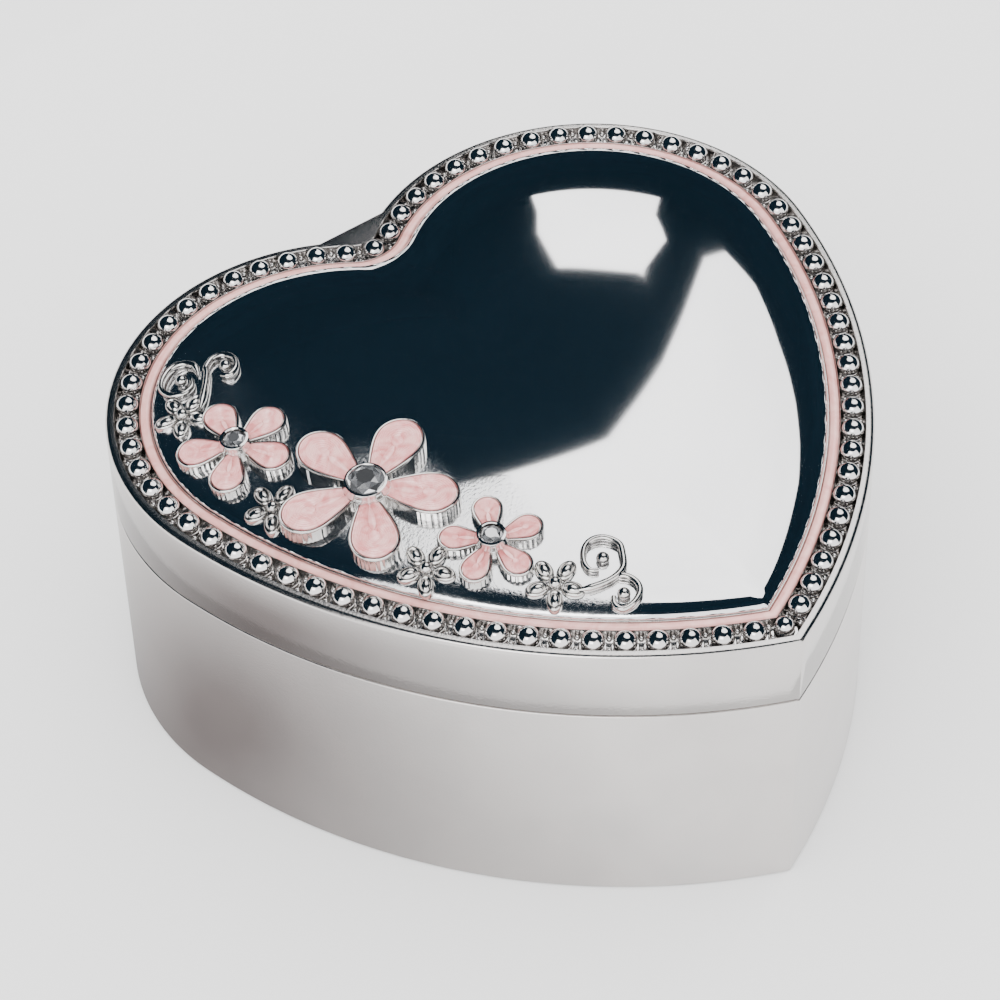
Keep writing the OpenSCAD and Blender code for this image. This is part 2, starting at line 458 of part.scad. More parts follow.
module air_brake() color("gray") movement() translate([worm_at[0], worm_at[1], 0]) {
    translate([0, 0, bed_t + 0.2]) cylinder(r = 0.4, h = arm_z + 0.8 - bed_t);
    turns = worm_h / worm_lead;
    translate([0, 0, worm_z]) rotate(90 - 360 * (gov_z - worm_z) / worm_lead)
        linear_extrude(worm_h, twist = -360 * turns, slices = ceil(turns * 10)) translate([0.24, 0]) circle(r = 1.12, $fn = 12);
    for (a = [0, 90]) rotate(a) translate([-fan_r, -0.15, fan_z]) cube([2 * fan_r, 0.3, fan_h]);
}
plunger_top = pad_z - bed_z - 0.3;
module stop_plunger() color("gray") movement() translate([plunger_at[0], plunger_at[1], 0]) {
    translate([0, 0, 4.6]) cylinder(r = 0.9, h = plunger_top - 4.6);
    translate([0, 0, 11.6]) cylinder(r = 1.5, h = 0.8);
    translate([-1.4, -0.5, 17]) cube([1.6, 1, 1]);
}
module plunger_guide() color("gold") movement() difference() {
    union() {
        translate([plunger_at[0] - 1.8, plunger_at[1] - 1.5, bed_t]) cube([4.1, 3, 1]);
        translate([plunger_at[0] + 1.6, plunger_at[1] - 1.5, bed_t]) cube([0.7, 3, 14]);
        for (z = [7, 15.4]) translate([plunger_at[0] - 1.4, plunger_at[1] - 1.5, z]) cube([3.7, 3, 0.8]);
    }
    translate([plunger_at[0], plunger_at[1], 6]) cylinder(r = 0.9 + bearing_gap, h = 12);
}
module plunger_spring() color("gray") movement() translate([plunger_at[0], plunger_at[1], 7.82]) coil(1.2, 0.15, 5, 3.75);

base_shell();
bottom_plate();
bottom_screws();
base_felt();
wall_lining();
tray_lining();
partition();
movement_cover();
lid_shell();
bead_border();
enamel_band();
lid_lining();
large_flower();
left_flower();
right_flower();
large_petals();
left_petals();
right_petals();
crystal_bezels();
crystals();
small_flowers();
upper_scroll();
lower_scroll();
hinge_base_leaf();
hinge_lid_leaf();
hinge_pin();
winding_key();
bedplate();
comb();
comb_screws();
pin_cylinder();
cylinder_pins();
cylinder_pinion();
cylinder_wheel();
cylinder_arbor();
cylinder_bracket();
spring_barrel();
barrel_cap();
mainspring();
winding_arbor();
clutch_spring();
barrel_bridge();
governor_frame();
governor_wheel();
air_brake();
stop_plunger();
plunger_guide();
plunger_spring();
frame_screws();
movement_screws();
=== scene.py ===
import math

import bmesh
import bpy
from mathutils import Matrix, Vector
from mathutils.bvhtree import BVHTree


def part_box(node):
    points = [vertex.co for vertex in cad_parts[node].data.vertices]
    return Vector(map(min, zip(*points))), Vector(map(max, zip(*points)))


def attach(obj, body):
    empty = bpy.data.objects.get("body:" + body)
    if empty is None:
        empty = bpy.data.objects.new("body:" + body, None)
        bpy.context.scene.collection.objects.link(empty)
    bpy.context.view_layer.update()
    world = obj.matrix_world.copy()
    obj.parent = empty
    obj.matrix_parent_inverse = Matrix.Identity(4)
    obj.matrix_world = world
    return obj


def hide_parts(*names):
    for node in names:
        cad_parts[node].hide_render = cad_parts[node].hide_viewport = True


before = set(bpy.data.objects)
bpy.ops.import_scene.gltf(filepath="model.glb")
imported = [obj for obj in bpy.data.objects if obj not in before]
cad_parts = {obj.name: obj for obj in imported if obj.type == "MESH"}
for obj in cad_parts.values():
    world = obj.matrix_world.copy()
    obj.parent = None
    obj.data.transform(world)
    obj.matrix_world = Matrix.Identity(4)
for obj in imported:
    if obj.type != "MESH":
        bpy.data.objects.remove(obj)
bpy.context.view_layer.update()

# ---- Camera and stage ---------------------------------------------------------------------------
# A pale floor under an even white sky, with one soft light over the left shoulder. The polished lid
# mirrors dark drapes with two white windows, which only reflections see, as studios shoot mirror
# finishes; the wall mirrors a painted floor shadow, a card dark by the left lobe's foot.
MM = 0.001
lift_y = 16.863 * MM            # the lobe centres lie this far behind the origin
yaw, pitch, roll = -0.622, 0.8042, -0.0284
view_target = Vector((-1.229 * MM, -7.008 * MM + lift_y, 20.0 * MM))
view_distance = 495.3 * MM
back = Vector((math.sin(yaw) * math.cos(pitch), -math.cos(yaw) * math.cos(pitch), math.sin(pitch)))
right = (-back).cross(Vector((0, 0, 1))).normalized()
up = right.cross(-back)
right, up = right * math.cos(roll) + up * math.sin(roll), up * math.cos(roll) - right * math.sin(roll)

camera_data = bpy.data.cameras.new("camera")
camera_data.lens = 135.67
camera_data.sensor_width = 36
camera_data.clip_start = 0.01
camera = bpy.data.objects.new("camera", camera_data)
bpy.context.scene.collection.objects.link(camera)
camera.matrix_world = Matrix.Translation(view_target
                                         + back * view_distance) @ Matrix((right, up,
                                             back)).transposed().to_4x4()
bpy.context.scene.camera = camera


def principled(name, color, rough, metal=0.0, **more):
    """A Principled material, and its node tree, shader and Object coordinates."""
    material = bpy.data.materials.new(name)
    material.use_nodes = True
    tree = material.node_tree
    shader = tree.nodes["Principled BSDF"]
    shader.inputs["Base Color"].default_value = (*color, 1)
    shader.inputs["Roughness"].default_value = rough
    shader.inputs["Metallic"].default_value = metal
    for key, value in more.items():
        shader.inputs[key.replace("_", " ")].default_value = value
    coords = tree.nodes.new("ShaderNodeTexCoord")
    return material, tree, shader, coords.outputs["Object"]


def noise(tree, where, scale, detail=4.0, distortion=0.0):
    node = tree.nodes.new("ShaderNodeTexNoise")
    node.inputs["Scale"].default_value = scale
    node.inputs["Detail"].default_value = detail
    node.inputs["Distortion"].default_value = distortion
    tree.links.new(where, node.inputs["Vector"])
    return node.outputs["Fac"]


def ramp(tree, fac, low, high, first=0.3, last=0.7):
    node = tree.nodes.new("ShaderNodeValToRGB")
    node.color_ramp.elements[0].position = first
    node.color_ramp.elements[1].position = last
    node.color_ramp.elements[0].color = low if len(low) == 4 else (*low, 1)
    node.color_ramp.elements[1].color = high if len(high) == 4 else (*high, 1)
    tree.links.new(fac, node.inputs["Fac"])
    return node.outputs["Color"]


def spread(tree, fac, low, high):
    node = tree.nodes.new("ShaderNodeMapRange")
    node.inputs["To Min"].default_value = low
    node.inputs["To Max"].default_value = high
    tree.links.new(fac, node.inputs["Value"])
    return node.outputs["Result"]


def bump(tree, shader, height, distance, strength=1.0):
    node = tree.nodes.new("ShaderNodeBump")
    node.inputs["Distance"].default_value = distance
    node.inputs["Strength"].default_value = strength
    tree.links.new(height, node.inputs["Height"])
    if shader.inputs["Normal"].links:
        tree.links.new(shader.inputs["Normal"].links[0].from_socket, node.inputs["Normal"])
    tree.links.new(node.outputs["Normal"], shader.inputs["Normal"])


floor_mat, tree, shader, where = principled("pale_floor", (0.93, 0.93, 0.93), 0.7)
tree.links.new(ramp(tree, noise(tree, where, 6), (0.92, 0.92, 0.92), (0.94, 0.94, 0.94)),
               shader.inputs["Base Color"])
bpy.ops.object.select_all(action="DESELECT")
bpy.ops.mesh.primitive_plane_add(size=8, location=(0, 0, -0.0002))
floor = bpy.context.object
floor.name = "floor"
floor.data.materials.append(floor_mat)

world = bpy.data.worlds.new("studio")
world.use_nodes = True
world.node_tree.nodes["Background"].inputs["Color"].default_value = (1, 1, 1, 1)
world.node_tree.nodes["Background"].inputs["Strength"].default_value = 2.5
bpy.context.scene.world = world


def aim(obj, place, target):
    obj.matrix_world = Matrix.Translation(place) @ (place - target).to_track_quat("Z",
        "Y").to_matrix().to_4x4()


def sky_patch(name, radius, rows, color, glow=0.0):
    """A strip of a sphere round the box, out of the camera's sight; rows are (height, left, right)
    in degrees, left and right being the bearings from +Y towards +X."""
    mesh = bpy.data.meshes.new(name)
    bm = bmesh.new()
    steps = 24
    grid = []
    for height, left, right_end in rows:
        e = math.radians(height)
        line = []
        for i in range(steps + 1):
            a = math.radians(left + (right_end - left) * i / steps)
            line.append(bm.verts.new((radius * math.cos(e) * math.sin(a),
                                      radius * math.cos(e) * math.cos(a), radius * math.sin(e))))
        grid.append(line)
    for low, high in zip(grid, grid[1:]):
        for i in range(steps):
            bm.faces.new((low[i + 1], low[i], high[i], high[i + 1]))
    bm.to_mesh(mesh)
    bm.free()
    obj = bpy.data.objects.new(name, mesh)
    bpy.context.scene.collection.objects.link(obj)
    mat, t, s, w = principled(name, color, 0.9)
    s.inputs["Emission Color"].default_value = (*color, 1)
    s.inputs["Emission Strength"].default_value = glow
    s.inputs["Specular IOR Level"].default_value = 0
    t.links.new(ramp(t, noise(t, w, 1.5), tuple(c * 0.7 for c in color), color), s.inputs["Base Color"])
    mesh.materials.append(mat)
    for ray in ("camera", "shadow", "diffuse", "transmission"):
        setattr(obj, "visible_" + ray, False)
    return obj


def soft_box(name, place, size, power, target=Vector((0, 0, 0.04))):
    light = bpy.data.lights.new(name, "AREA")
    light.shape = "RECTANGLE"
    light.size, light.size_y = size
    light.energy = power
    obj = bpy.data.objects.new(name, light)
    bpy.context.scene.collection.objects.link(obj)
    aim(obj, place, target)
    return obj


drape_color = (0.004, 0.010, 0.016)
sky_patch("dark_drape", 1.6, [(e, -100, 150) for e in range(1, 90, 8)] + [(90, -100, 150)],
          drape_color)
sky_patch("dark_left", 1.55, [(e, -215, -100) for e in range(48, 90, 7)] + [(90, -215, -100)],
          drape_color)
sky_patch("upper_window", 1.4, [(31.5, 34.5, 44.5), (35, 35.5, 44), (38, 36, 45), (41.5, 37.5, 43)],
          (1, 1, 1), 1.1)
sky_patch("tip_window", 1.4, [(35.5, 52, 56), (38, 49, 60), (41, 47, 72), (45, 44, 92), (49, 39, 104),
                              (54, 31, 112), (60, 22, 120),
                              (68, 8, 130), (76, -10, 140), (84, -30, 150), (89, -60, 160)], (1, 1, 1), 1.0)

# A card flat on the floor by the left lobe, seen only in the plated wall, painted as a floor shadow:
# dark by the box's foot and pale further out, so that the wall shades off towards its foot.
painted_shadow_card_mat, tree, shader, where = principled("painted_floor_shadow", (0.3, 0.28, 0.28), 0.9)
from_lobe = tree.nodes.new("ShaderNodeVectorMath")
from_lobe.operation = "DISTANCE"
from_lobe.inputs[1].default_value = (-0.060, 0.012, 0)
tree.links.new(where, from_lobe.inputs[0])
shadow_falloff = tree.nodes.new("ShaderNodeMapRange")
shadow_falloff.inputs["From Min"].default_value = 0.006
shadow_falloff.inputs["From Max"].default_value = 0.075
tree.links.new(from_lobe.outputs["Value"], shadow_falloff.inputs["Value"])
# Painted shadow: dark next to the left lobe's foot, fading to pale 75 mm out.
tree.links.new(ramp(tree, shadow_falloff.outputs["Result"], (0.20, 0.18, 0.18), (0.95, 0.95, 0.95), 0, 1),
               shader.inputs["Base Color"])
bpy.ops.object.select_all(action="DESELECT")
bpy.ops.mesh.primitive_plane_add(size=0.3, location=(0, 0, -0.0001))
painted_shadow_card = bpy.context.object
painted_shadow_card.name = "painted_floor_shadow"
bpy.ops.object.transform_apply(location=True, rotation=False, scale=False)
painted_shadow_card.data.materials.append(painted_shadow_card_mat)
for ray in ("camera", "shadow", "diffuse", "transmission"):
    setattr(painted_shadow_card, "visible_" + ray, False)
soft_box("key_light", Vector((-0.9, -0.7, 1.1)), (0.8, 0.8), 9)

# ---- Heart plan -----------------------------------------------------------------------------------
# Every ring of the case follows one plan: two lobe arcs, two side arcs that meet in a sharp tip, and
# a cleft that is round on the rim but bridged by a flat web on the walls, where the hinge is soldered.
heart_w = 100 * MM
lobe_r = 0.306 * heart_w
lobe_x = heart_w / 2 - lobe_r
side_r = 0.852 * heart_w
side_drop = math.radians(13)
web_y = 0.27 * heart_w
cleft_r = 2 * MM
side_cx = lobe_x - (side_r - lobe_r) * math.cos(side_drop)
side_cy = (side_r - lobe_r) * math.sin(side_drop)
cleft_cy = math.sqrt((lobe_r + cleft_r) ** 2 - lobe_x ** 2)
SIDE_STEPS, LOBE_STEPS, CLEFT_STEPS = 60, 90, 12


def heart(inset, web=False):
    """The closed outline, moved inwards by inset, anticlockwise from the tip."""
    r = lobe_r - inset
    tip = side_cy - math.sqrt((side_r - inset) ** 2 - side_cx ** 2)
    tip_a = math.atan2(tip - side_cy, -side_cx)
    end_a = math.pi - math.asin(min((web_y - inset) / r, 1)) if web else math.atan2(cleft_cy, -lobe_x)
    half = []
    for i in range(SIDE_STEPS + 1):
        a = tip_a + (-side_drop - tip_a) * i / SIDE_STEPS
        half.append((side_cx + (side_r - inset) * math.cos(a), side_cy + (side_r - inset) * math.sin(a)))
    for i in range(1, LOBE_STEPS + 1):
        a = -side_drop + (end_a + side_drop) * i / LOBE_STEPS
        half.append((lobe_x + r * math.cos(a), r * math.sin(a)))
    for i in range(1, CLEFT_STEPS + 1):
        if web:
            half.append((half[SIDE_STEPS + LOBE_STEPS][0] * (1 - i / CLEFT_STEPS), web_y - inset))
        else:
            start = end_a + math.pi
            a = start + (1.5 * math.pi - start) * i / CLEFT_STEPS
            half.append(((cleft_r + inset) * math.cos(a), cleft_cy + (cleft_r + inset) * math.sin(a)))
    return half + [(-x, y) for x, y in reversed(half[1:-1])]


def ring(outline, z):
    return [Vector((x, y + lift_y, z)) for x, y in outline]


def piece(name, mesh, material, body, stands_for=(), smooth=35):
    """Link a finished mesh as a piece of the object, on a body and in place of CAD nodes."""
    obj = bpy.data.objects.new(name, mesh)
    bpy.context.scene.collection.objects.link(obj)
    obj.data.materials.clear()
    for m in material if isinstance(material, (list, tuple)) else [material]:
        obj.data.materials.append(m)
    bpy.ops.object.select_all(action="DESELECT")
    obj.select_set(True)
    bpy.context.view_layer.objects.active = obj
    bpy.ops.object.shade_smooth_by_angle(angle=math.radians(smooth))
    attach(obj, body)
    if stands_for:
        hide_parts(*stands_for)
    return obj


def loft(rings, closed_ends=None):
    """A skin over rings of equal count; closed_ends caps the first and last ring to a point, or
    joins the last ring to the first where it is None."""
    mesh = bpy.data.meshes.new("loft")
    bm = bmesh.new()
    rows = [[bm.verts.new(p) for p in points] for points in rings]
    n = len(rows[0])
    pairs = list(zip(rows, rows[1:])) + ([] if closed_ends else [(rows[-1], rows[0])])
    for low, high in pairs:
        for i in range(n):
            bm.faces.new((low[i], low[(i + 1) % n], high[(i + 1) % n], high[i]))
    if closed_ends:
        for row, flip in ((rows[0], True), (rows[-1], False)):
            middle = bm.verts.new(closed_ends[0 if flip else 1])
            for i in range(n):
                a, b = row[i], row[(i + 1) % n]
                bm.faces.new((b, a, middle) if flip else (a, b, middle))
    bmesh.ops.recalc_face_normals(bm, faces=bm.faces)
    bm.to_mesh(mesh)
    bm.free()
    return mesh


def rounded(z_low, z_high, out, inner, web, edge=0.4 * MM, steps=4):
    """Rings of a wall between two insets, with rounded upper edges."""
    rings = [ring(heart(inner, web), z_low), ring(heart(out, web), z_low)]
    for i in range(steps + 1):
        a = i / steps * math.pi / 2
        rings.append(ring(heart(out + edge * (1 - math.cos(a)), web), z_high - edge * (1 - math.sin(a))))
    for i in range(steps, -1, -1):
        a = i / steps * math.pi / 2
        rings.append(ring(heart(inner - edge * (1 - math.cos(a)), web), z_high - edge * (1 - math.sin(a))))
    return rings


# ---- Base shell -----------------------------------------------------------------------------------
# The lower half of the case: a cast wall with an inner ledge, tumbled and silver plated. The plate
# keeps a soft, slightly uneven satin, with hairline rubs.
wall = 1.8 * MM
seam_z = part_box("base_shell")[1][2]
ledge_z = 8.5 * MM
ledge_in = 5.6 * MM


def plated(name, rough=(0.13, 0.24), color=(0.60, 0.575, 0.56), dark=(0.53, 0.51, 0.50), grain=0.00003):
    mat, t, s, w = principled(name, color, 0.2, 1.0)
    t.links.new(ramp(t, noise(t, w, 70, 5, 0.3), dark, color, 0.2, 0.55), s.inputs["Base Color"])
    t.links.new(spread(t, noise(t, w, 160, 6), *rough), s.inputs["Roughness"])
    bump(t, s, noise(t, w, 2600, 3), grain, 0.5)
    bump(t, s, noise(t, w, 60, 2), grain * 3, 0.35)
    return mat


case_silver = plated("case_silver_plate")
base_rings = rounded(0, seam_z, 0, wall, True, 0.25 * MM)
base_rings += [ring(heart(wall, True), ledge_z + 3 * MM), ring(heart(ledge_in, True), ledge_z + 3 * MM),
               ring(heart(ledge_in, True), ledge_z), ring(heart(wall, True), ledge_z)]
piece("silver_base", loft(base_rings), case_silver, "case", ("base_shell",))

# ---- Lid shell ------------------------------------------------------------------------------------
# One casting: a wall, a rim, a sunk channel for the beads, a channel for the enamel and a puffed dome
# buffed to a mirror. Round the soldered flowers the polish gives way to the fine grain of the cast.
lid_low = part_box("lid_shell")[0][2]
rim_z = 43.5 * MM
panel_in = 5.9 * MM
dome_h = 4 * MM
lid_skin = 1.6 * MM
channel_z = rim_z - 1.9 * MM
dome_c = (0.0, -0.08 * heart_w)


def shrunk(outline, s):
    return [(dome_c[0] + (x - dome_c[0]) * s, dome_c[1] + (y - dome_c[1]) * s) for x, y in outline]


def dome_rise(s):
    return dome_h * math.sqrt(max(0.0, 1 - min(s, 1) ** 3))


dome_steps = [1 - 0.06 * (i / 14) ** 2 for i in range(1, 15)] + [0.94 - 0.9 * i / 44 for i in range(1, 45)]
panel = heart(panel_in)
under = [ring(shrunk(panel, s), rim_z - lid_skin + dome_rise(s)) for s in reversed(dome_steps[1::3])]
walls = [(panel_in, rim_z - 3.3 * MM, False), (wall, rim_z - 3.6 * MM, True), (wall, lid_low, True),
         (0.15 * MM, lid_low, True),
         (0, lid_low + 0.15 * MM, True), (0, rim_z - 0.7 * MM, True)]
for i in range(1, 7):
    a = i / 6 * math.pi / 2
    walls.append((0.7 * MM * (1 - math.cos(a)), rim_z - 0.7 * MM * (1 - math.sin(a)), True))
walls += [(1.1 * MM, rim_z, False), (1.18 * MM, rim_z - 0.1 * MM, False)]
for i in range(0, 13):
    a = math.pi + math.pi * i / 12
    walls.append((2.75 * MM + 1.54 * MM * math.cos(a), rim_z - 0.3 * MM + 1.6 * MM * math.sin(a), False))
walls += [(4.3 * MM, rim_z - 0.1 * MM, False), (4.34 * MM, rim_z, False),
          (4.4 * MM, rim_z - 0.1 * MM, False),
          (4.42 * MM, rim_z - 0.9 * MM, False), (5.68 * MM, rim_z - 0.9 * MM, False),
          (5.7 * MM, rim_z - 0.1 * MM, False),
          (5.78 * MM, rim_z, False), (panel_in, rim_z, False)]
lid_rings = under + [ring(heart(i, web), z) for i, z, web in walls]
first_dome_ring = len(lid_rings)
lid_rings += [ring(shrunk(panel, s), rim_z + dome_rise(s)) for s in dome_steps]
apex = Vector((dome_c[0], dome_c[1] + lift_y, rim_z + dome_h))
lid_mesh = loft(lid_rings, (apex - Vector((0, 0, lid_skin)), apex))

mirror, tree, shader, where = principled("mirror_dome", (0.86, 0.86, 0.87), 0.04, 1.0)
nearest = None
for x, y in ((-28.3, -17.2), (-36.4, -0.7), (-21.2, -33), (-36, 10), (-17, -43), (-28.8, -31)):
    distance = tree.nodes.new("ShaderNodeVectorMath")
    distance.operation = "DISTANCE"
    distance.inputs[1].default_value = (x * MM, y * MM + lift_y, rim_z + 3 * MM)
    tree.links.new(where, distance.inputs[0])
    if nearest is None:
        nearest = distance.outputs["Value"]
    else:
        least = tree.nodes.new("ShaderNodeMath")
        least.operation = "MINIMUM"
        tree.links.new(nearest, least.inputs[0])
        tree.links.new(distance.outputs["Value"], least.inputs[1])
        nearest = least.outputs[0]
close = tree.nodes.new("ShaderNodeMapRange")
close.inputs["From Min"].default_value = 5 * MM
close.inputs["From Max"].default_value = 11 * MM
close.inputs["To Min"].default_value = 1
close.inputs["To Max"].default_value = 0
tree.links.new(nearest, close.inputs["Value"])
grain = tree.nodes.new("ShaderNodeMath")
grain.operation = "MULTIPLY"
tree.links.new(close.outputs["Result"], grain.inputs[0])
tree.links.new(noise(tree, where, 2600, 4), grain.inputs[1])
tree.links.new(spread(tree, grain.outputs[0], 0.035, 0.26), shader.inputs["Roughness"])
bump(tree, shader, grain.outputs[0], 0.00004, 0.5)
bump(tree, shader, noise(tree, where, 38, 1), 0.00006, 0.25)
lid = piece("silver_lid", lid_mesh, [case_silver, mirror], "lid", ("lid_shell",), 50)
count = len(panel)
for face in lid.data.polygons:
    if min(face.vertices) >= first_dome_ring * count or max(face.vertices) == len(lid.data.vertices) - 1:
        face.material_index = 1
lid_surface = BVHTree.FromPolygons([v.co.copy() for v in lid.data.vertices],
                                   [tuple(f.vertices) for f in lid.data.polygons])


def on_dome(x_mm, y_mm, smooth=2 * MM):
    """A frame on the dome at a point of the plan: origin on the surface, Z along its normal."""
    x, y = x_mm * MM, y_mm * MM + lift_y

    def height(px, py):
        hit = lid_surface.ray_cast(Vector((px, py, 0.1)), Vector((0, 0, -1)))
        return hit[0].z if hit[0] else rim_z
    slope_x = (height(x + smooth, y) - height(x - smooth, y)) / (2 * smooth)
    slope_y = (height(x, y + smooth) - height(x, y - smooth)) / (2 * smooth)
    tilt = Matrix.Rotation(math.atan(math.hypot(slope_x, slope_y)), 4, Vector((slope_y, -slope_x, 0)))
    return Matrix.Translation((x, y, height(x, y))) @ tilt

# ---- Bead border ----------------------------------------------------------------------------------
# A row of plated beads set side by side in the channel. Each sits in a low scalloped collar, with a
# pair of tiny grains raised between it and the next, as on beaded gallery strip.
bead_in = 2.75 * MM
bead_r = 1.5 * MM
bead_z = channel_z + bead_r + 0.02 * MM
bead_line = heart(bead_in)
runs = [0.0]
for a, b in zip(bead_line, bead_line[1:] + bead_line[:1]):
    runs.append(runs[-1] + math.dist(a, b))
bead_count = int(runs[-1] / (2 * bead_r + 0.85 * MM) + 1e-6)


def along(distance):
    """Point and direction on the bead line at a distance from the tip."""
    distance %= runs[-1]
    i = max(k for k in range(len(bead_line)) if runs[k] <= distance)
    a, b = bead_line[i], bead_line[(i + 1) % len(bead_line)]
    t = (distance - runs[i]) / (runs[i + 1] - runs[i])
    direction = Vector((b[0] - a[0], b[1] - a[1], 0)).normalized()
    return Vector((a[0] + (b[0] - a[0]) * t, a[1] + (b[1] - a[1]) * t + lift_y, 0)), direction


def sphere_into(bm, place, radius, u=20, v=12, seat=Matrix()):
    """A ball of u by v faces, set on a seat."""
    rows = [[bm.verts.new(seat @ (place + radius * Vector((math.sin(b) * math.cos(a),
                                                           math.sin(b) * math.sin(a), math.cos(b)))))
             for a in (2 * math.pi * i / u for i in range(u))]
             for b in (math.pi * j / v for j in range(1, v))]
    top = bm.verts.new(seat @ (place + Vector((0, 0, radius))))
    foot = bm.verts.new(seat @ (place - Vector((0, 0, radius))))
    for high, low in zip(rows, rows[1:]):
        for i in range(u):
            bm.faces.new((low[i], low[(i + 1) % u], high[(i + 1) % u], high[i]))
    for i in range(u):
        bm.faces.new((rows[0][i], rows[0][(i + 1) % u], top))
        bm.faces.new((rows[-1][(i + 1) % u], rows[-1][i], foot))


def collar_into(bm, place, radius, tube, sides=16, around=6):
    rows = []
    for i in range(sides):
        a = 2 * math.pi * i / sides
        rows.append([bm.verts.new(place + Vector(((radius + tube * math.cos(b)) * math.cos(a),
                                                  (radius + tube * math.cos(b)) * math.sin(a),
                                                  tube * math.sin(b))))
                     for b in (2 * math.pi * j / around for j in range(around))])
    for i in range(sides):
        for j in range(around):
            bm.faces.new((rows[i][j], rows[(i + 1) % sides][j], rows[(i + 1) % sides][(j + 1) % around],
                          rows[i][(j + 1) % around]))


bead_silver = plated("bead_silver_plate", (0.06, 0.13), (0.80, 0.78, 0.77), (0.62, 0.60, 0.59), 0.00001)
bead_mesh = bpy.data.meshes.new("beads")
bm = bmesh.new()
spacing = runs[-1] / bead_count
for k in range(bead_count):
    place, direction = along(spacing * k)
    small = k == 0
    if small:
        place.y += 0.35 * MM
    sphere_into(bm, place + Vector((0, 0, bead_z)), bead_r - (0.25 * MM if small else 0), 24, 14)
    collar_into(bm, place + Vector((0, 0, channel_z + 0.45 * MM)), bead_r * 0.98, 0.3 * MM)
    between, direction = along(spacing * (k + 0.5))
    side = Vector((-direction.y, direction.x, 0))
    for s in (-1, 1):
        sphere_into(bm, between + side * s * 0.95 * MM + Vector((0, 0, channel_z + 1.05 * MM)), 0.38 * MM,
                    10, 6)
bmesh.ops.recalc_face_normals(bm, faces=bm.faces)
bm.to_mesh(bead_mesh)
bm.free()
piece("bead_row", bead_mesh, bead_silver, "lid", ("bead_border",), 60)

# ---- Enamel band ----------------------------------------------------------------------------------
# Pink vitreous enamel fired into the narrow channel inside the beads; it stands a little proud and
# rounds over at both edges where it pulled back from the metal.
band_mid, band_half = 5.05 * MM, 0.6 * MM
band_rings = []
for i in range(13):
    a = math.pi * i / 12
    band_rings.append(ring(heart(band_mid - band_half * math.cos(a)),
                           rim_z - 0.35 * MM + 0.42 * MM * math.sin(a) ** 0.7))
band_rings += [ring(heart(band_mid + band_half), rim_z - 0.8 * MM),
               ring(heart(band_mid - band_half), rim_z - 0.8 * MM)]


def enamel(name, pale, deep, swirl):
    mat, t, s, w = principled(name, pale, 0.16, 0.0, Coat_Weight=0.7, Coat_Roughness=0.05,
                              Specular_IOR_Level=0.6)
    t.links.new(ramp(t, noise(t, w, swirl, 3, 2.2), deep, pale, 0.35, 0.62), s.inputs["Base Color"])
    t.links.new(spread(t, noise(t, w, swirl * 2, 3), 0.1, 0.26), s.inputs["Roughness"])
    bump(t, s, noise(t, w, swirl * 1.5, 2), 0.00004, 0.5)
    return mat


band_enamel = enamel("band_enamel", (0.84, 0.46, 0.42), (0.74, 0.34, 0.31), 260)
piece("pink_band", loft(band_rings), band_enamel, "lid", ("enamel_band",), 60)

# ---- Flowers --------------------------------------------------------------------------------------
# Each flower is a silver casting with fluted sides and a rounded rim; five cells hold pearly pink
# enamel, ribbed in curved lines that follow the petal's edge, as thread laid under the glaze.
pearl = enamel("pearl_petals", (0.88, 0.50, 0.48), (0.72, 0.27, 0.27), 330)
flower_silver = plated("flower_silver_plate", (0.10, 0.22), (0.72, 0.70, 0.68), (0.50, 0.48, 0.47), 0.00002)
flowers = {
    "large": dict(at=(-28.3, -17.2), angles=(97, 169, 241, 313, 25), length=11.6, width=6.4, height=1.7,
                  stone=4.7, hub=6.0),
    "left": dict(at=(-36.4, -0.7), angles=(78, 5, 297, 223, 150), length=7.6, width=4.7, height=1.2,
                 stone=3.0, hub=4.0),
    "right": dict(at=(-21.2, -33), angles=(137, 60, -14, -86, 207), length=6.7, width=3.9, height=1.2,
                  stone=3.0, hub=4.0),
}


def half_width(t, width):
    return width / 2 * math.sqrt(math.sin(math.pi * t ** 1.9)) if 0 < t < 1 else 0.0


def petal_outline(length, width, steps=26, start=0.02):
    """Teardrop outline along +X, anticlockwise; widest past its middle."""
    stations = [length * (start + (1 - start) * (0.5 - 0.5 * math.cos(math.pi * i / steps)))
                for i in range(steps + 1)]
    low = [(x, -half_width(x / length, width)) for x in stations]
    return low + [(x, -y) for x, y in reversed(low[:-1])]


def petal_block(bm, frame_at, outline, heights, insets, middle):
    """A stack of rings of one outline, each pulled in towards the middle, closed by a fan."""
    rows = []
    for z, inset in zip(heights, insets):
        row = []
        for x, y in outline:
            d = Vector((x - middle, y, 0))
            reach = max(d.length, 1e-9)
            p = Vector((middle, 0, 0)) + d * max(0.02, (reach - inset) / reach)
            row.append(bm.verts.new(frame_at @ Vector((p.x, p.y, z))))
        rows.append(row)
    n = len(outline)
    for low, high in zip(rows, rows[1:]):
        for i in range(n):
            bm.faces.new((low[i], low[(i + 1) % n], high[(i + 1) % n], high[i]))
    top = bm.verts.new(frame_at @ Vector((middle, 0, heights[-1])))
    foot = bm.verts.new(frame_at @ Vector((middle, 0, heights[0])))
    for i in range(n):
        bm.faces.new((rows[-1][i], rows[-1][(i + 1) % n], top))
        bm.faces.new((rows[0][(i + 1) % n], rows[0][i], foot))


def fluted(outline, depth, pitch):
    """The outline with shallow flutes along its length."""
    out, run = [], 0.0
    for i, (x, y) in enumerate(outline):
        px, py = outline[i - 1]
        nx, ny = outline[(i + 1) % len(outline)]
        tx, ty = nx - px, ny - py
        size = math.hypot(tx, ty) or 1
        run += math.hypot(x - px, y - py) if i else 0
        push = -depth * (0.5 + 0.5 * math.cos(2 * math.pi * run / pitch))
        out.append((x + ty / size * push, y - tx / size * push))
    return out


